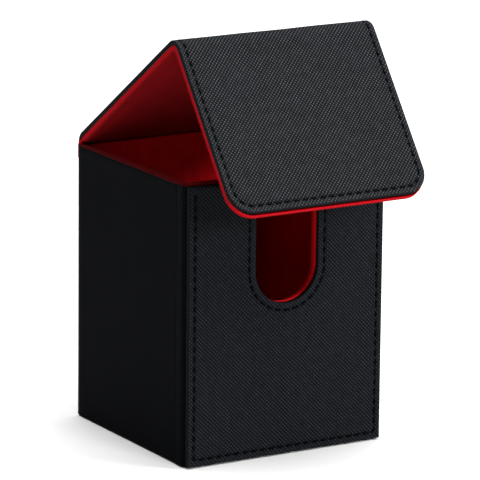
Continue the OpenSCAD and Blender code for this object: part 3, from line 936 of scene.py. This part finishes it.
def base_leather():
    """The sheet under the floor."""
    edge = section(0.5, 0.75, field=(1.0, 2.0))
    back, front = BACK - 0.45, PANEL_BACK + 0.1
    rows = turned_rows(back, -1, edge, spaced(back - 3, front + STRIP_R, 1.2))
    layout = lay_u(rows, BOX_HALF - 0.5, front, STRIP_R, edge, 1.2, 8)
    piece = add_sheet("base_leather", layout, lambda f: f, LEATHER)
    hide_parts("bottom_cover")
    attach(piece, "box")


# ---- the box's suede ----

def wall_suede():
    """One strip of lining round both sides and the back of the room."""
    plan = Track((-ROOM_HALF, ROOM_FRONT), math.pi / 2)
    for i, length in enumerate((ROOM_BACK - ROOM_FRONT, 2 * ROOM_HALF, ROOM_BACK - ROOM_FRONT)):
        plan.add(length - ROOM_CORNER_R * (2 if i == 1 else 1))
        if i < 2:
            plan.add(ROOM_CORNER_R * math.pi / 2, -math.pi / 2)
    rows = wall_rows(LINING_FOOT, LINING_TOP, section(0.3, 0.5), section(0.45, 0.7), 1.2)
    layout = lay_wall(CUT, CUT, plan.length, rows, 1.0)
    piece = add_sheet("wall_suede", layout, upright(plan, 1), SUEDE, [ripple(12, 0.08, 25)])
    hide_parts("left_lining", "back_lining", "right_lining")
    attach(piece, "box")


def front_wall_suede():
    """The front wall's lining, cut off flat where it meets the side walls and the floor."""
    cut = np.array([[0.0, 0.0, 0.0], [1.0, 0.0, 1.0]])
    top_edge, notch_edge = section(0.45, 0.7, field=(1.0,)), section(0.6, 0.75, field=(1.2, 2.0, 3.0))
    layout = lay_notched(ROOM_HALF, LINING_FOOT, LINING_TOP, cut, top_edge, notch_edge, NOTCH_HALF + 0.5,
                         NOTCH_Z, 1.0)

    def place(f):
        return np.column_stack([f[:, 0], ROOM_FRONT - f[:, 2], f[:, 1]])
    piece = add_sheet("front_wall_suede", layout, place, SUEDE, [ripple(13, 0.07, 25)])
    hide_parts("front_lining")
    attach(piece, "box")


def floor_suede():
    """The floor's lining."""
    edge = section(0.3, 0.4, field=(1.0,))
    rows = wall_rows(ROOM_FRONT, ROOM_BACK, edge, edge, 1.2)
    layout = lay_wall(edge, edge, 2 * ROOM_HALF, rows, 1.2)

    def place(f):
        return np.column_stack([f[:, 0] - ROOM_HALF, f[:, 1], ROOM_FLOOR - f[:, 2]])
    piece = add_sheet("floor_suede", layout, place, SUEDE, [ripple(14, 0.08, 25)])
    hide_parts("floor_lining")
    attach(piece, "box")


def rounded_end(along, length, radius=0.9):
    """How far a strip's ends turn down, at distances along it."""
    rise = np.clip(np.minimum(along, length - along), 0, radius)
    return radius - np.sqrt(radius ** 2 - (radius - rise) ** 2)


def rim_suede():
    """Lining turned over the walls' top edge, from one side of the notch round to the other."""
    tuck = 0.15

    def around(half, front, back):
        right = [(NOTCH_HALF, front), (half, front), (half, back)]
        return right + [(-x, y) for x, y in right[::-1]]

    def loop(points, radii):
        """Points along a path with rounded corners, as many for every path."""
        places = []
        for i in range(len(points) - 1):
            before, after = np.array(points[i], float), np.array(points[i + 1], float)
            way = (after - before) / np.linalg.norm(after - before)
            heading = math.atan2(way[1], way[0])
            start = before + way * (radii[i - 1] if i else 0)
            end = after - way * (radii[i] if i < len(points) - 2 else 0)
            count = 40 if i in (0, 4) else 60
            for t in np.linspace(0, 1, count):
                places.append(start + (end - start) * t)
            if i < len(points) - 2:
                r, left = radii[i], np.array([-way[1], way[0]])
                for a in np.linspace(0, math.pi / 2, 10)[1:-1]:
                    turned = heading + a
                    places.append(end + left * r + r * np.array([math.sin(turned), -math.cos(turned)]))
        return np.array(places)

    inner = loop(around(ROOM_HALF + tuck, ROOM_FRONT - tuck, ROOM_BACK + tuck), (ROOM_CORNER_R,) * 4)
    outer = loop(around(BOX_HALF - 0.12, PANEL_BACK - 0.05, BACK - 0.9), (STRIP_R, 1.2, 1.2, STRIP_R))
    width = np.linalg.norm(outer - inner, axis=1)[:, None]
    across = (outer - inner) / width
    edge_in, edge_out = section(0.7, 1.4, 0.05), section(0.6, 1.05, 0.2)
    lines = [(inner + across * e[0], e[1], e[2]) for e in edge_in]
    lines += [(inner + across * (0.7 + (width - 1.3) * t), 0.0, 0.7 + 1.6 * t) for t in (0.25, 0.5, 0.75)]
    lines += [(outer - across * e[0], e[1], 3.0 - e[2]) for e in edge_out[::-1]]
    along = np.append(0, np.hypot(*np.diff((inner + outer) / 2, axis=0).T).cumsum())
    drop = rounded_end(along, along[-1])
    flat = np.array([np.column_stack([line, np.maximum(depth, drop)]) for line, depth, _ in lines])
    cloth = np.array([np.column_stack([along, np.full(len(along), over)]) for _, _, over in lines])

    def place(f):
        return np.column_stack([f[:, :2], RIM - f[:, 2]])
    piece = add_sheet("rim_suede", lay_grid(flat, cloth, 3.0), place, RIM_SUEDE)
    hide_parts("rim_edging")
    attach(piece, "box")


def notch_suede():
    """The red edge of the thumb notch, between the stitched panel and the room."""
    path = u_track(NOTCH_HALF, RIM, NOTCH_Z - NOTCH_HALF, NOTCH_HALF)
    depth, flare, corner = ROOM_FRONT - PANEL_BACK, 0.42, 0.3
    # how far behind the panel and out from the notch: a groove, the edge, and its flare to the room
    profile = [(-0.1, 0.9), (0.0, 0.75), (0.15, 0.62), (0.8, 0.5), (1.05, 0.32), (1.2, 0.12), (1.4, 0.0),
               (1.6, 0.0), (2.3, 0.4 * flare), (depth - corner, flare)]
    profile += [(depth - corner + corner * math.sin(a), flare + corner * (1 - math.cos(a)))
                for a in np.linspace(0.3, math.pi / 2, 5)]
    profile = np.array(profile)
    along = np.concatenate([[0.0, 0.1, 0.25, 0.5, 0.9], spaced(1.4, path.length - 1.4, 0.6),
                            path.length - np.array([0.9, 0.5, 0.25, 0.1, 0.0])])
    lean = rounded_end(along, path.length)
    shape = (len(along), len(profile))
    flat = np.stack([np.broadcast_to(profile[:, 0], shape), np.broadcast_to(along[:, None], shape),
                     np.maximum(profile[None, :, 1], lean[:, None])], -1)

    def place(f):
        x, z = path.beside(f[:, 1], -f[:, 2]).T
        return np.column_stack([x, PANEL_BACK + f[:, 0], z])
    piece = add_sheet("notch_suede", lay_grid(flat, flat[..., :2], 2.0), place, SUEDE)
    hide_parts("notch_edging")
    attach(piece, "box")


back_and_lid_leather()
ridge_and_flap_leather()
lid_suede()
flap_suede()
panel_leather()
for side, mirror in (("left", 1), ("right", -1)):
    side_leather(side, mirror)
    corner_leather(side, mirror)
base_leather()
wall_suede()
front_wall_suede()
floor_suede()
rim_suede()
notch_suede()


# ---- stitching ----

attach(add_thread("panel_thread", [panel_seam], on_front, "panel_stitching"), "box")
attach(add_thread("notch_thread", [notch_seam], on_front, "notch_stitching"), "box")
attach(add_thread("lid_thread", lid_seams, on_lid, "top_stitching"), "lid_top")
flap_thread = add_thread("flap_thread", [flap_seam], on_lid, "flap_stitching")
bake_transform(flap_thread)


# ---- stage, light and camera ----

def pale_floor():
    """A wide, plain, nearly white floor, just under the box."""
    bpy.ops.mesh.primitive_plane_add(size=16, location=(0, 0, -0.0002))
    floor = bpy.context.object
    floor.name = "floor"
    paint = Paint("pale_floor", roughness=0.9, specular_ior_level=0.1)
    place = paint.node("TexCoord").outputs["Object"]
    clouds = paint.noise(place, 3.0)
    paint.set("Base Color", paint.mix(clouds, (0.54, 0.54, 0.54, 1), (0.56, 0.56, 0.56, 1)))
    floor.data.materials.append(paint.material)


def soft_light(name, position, size, power, target=(0, 0, 0.07)):
    """A round area light, in metres and watts, turned to the middle of the box."""
    data = bpy.data.lights.new(name, "AREA")
    data.shape, data.size, data.energy = "DISK", size, power
    light = bpy.data.objects.new(name, data)
    light.location = position
    light.rotation_euler = (Vector(target) - Vector(position)).to_track_quat("-Z", "Y").to_euler()
    bpy.context.scene.collection.objects.link(light)


def room_light(strength):
    """Faint even light from all round."""
    world = bpy.data.worlds.new("room")
    bpy.context.scene.world = world
    world.use_nodes = True
    background = world.node_tree.nodes["Background"]
    background.inputs["Color"].default_value = (1, 1, 1, 1)
    background.inputs["Strength"].default_value = strength


pale_floor()
soft_light("key", (1.1, -0.9, 1.65), 0.9, 55)
soft_light("front", (0.35, -2.1, 0.8), 0.7, 36)
soft_light("overhead", (0, 0.3, 3.0), 3.0, 235)
room_light(0.01)

# in front of the box, to its left and a little above it; the aim is from the middle of its foot
CAMERA_AZIMUTH, CAMERA_ELEVATION, CAMERA_ROLL = (math.radians(a) for a in (-31.0, 13.69, 0.61))
CAMERA_DISTANCE = 1554.6
CAMERA_LENS = 323.9
AIM_HEIGHT, AIM_RIGHT, AIM_UP = 60.0, 3.994, 9.411


def add_camera():
    """The photo's view of the box, through a long lens."""
    back = Vector((math.sin(CAMERA_AZIMUTH) * math.cos(CAMERA_ELEVATION),
                   -math.cos(CAMERA_AZIMUTH) * math.cos(CAMERA_ELEVATION), math.sin(CAMERA_ELEVATION)))
    level = Vector((0, 0, 1)).cross(back).normalized()
    up = back.cross(level)
    right = level * math.cos(CAMERA_ROLL) + up * math.sin(CAMERA_ROLL)
    up = back.cross(right)
    data = bpy.data.cameras.new("camera")
    data.lens, data.sensor_width = CAMERA_LENS, 36
    data.clip_start, data.clip_end = 0.05, 50
    camera = bpy.data.objects.new("camera", data)
    axes = Matrix((right, up, back)).transposed()
    place = Vector((0, 0, AIM_HEIGHT)) + right * AIM_RIGHT + up * AIM_UP + back * CAMERA_DISTANCE
    camera.matrix_world = Matrix.Translation(place * MM) @ axes.to_4x4()
    bpy.context.scene.collection.objects.link(camera)
    bpy.context.scene.camera = camera


add_camera()
bpy.context.scene.view_settings.view_transform = "Standard"
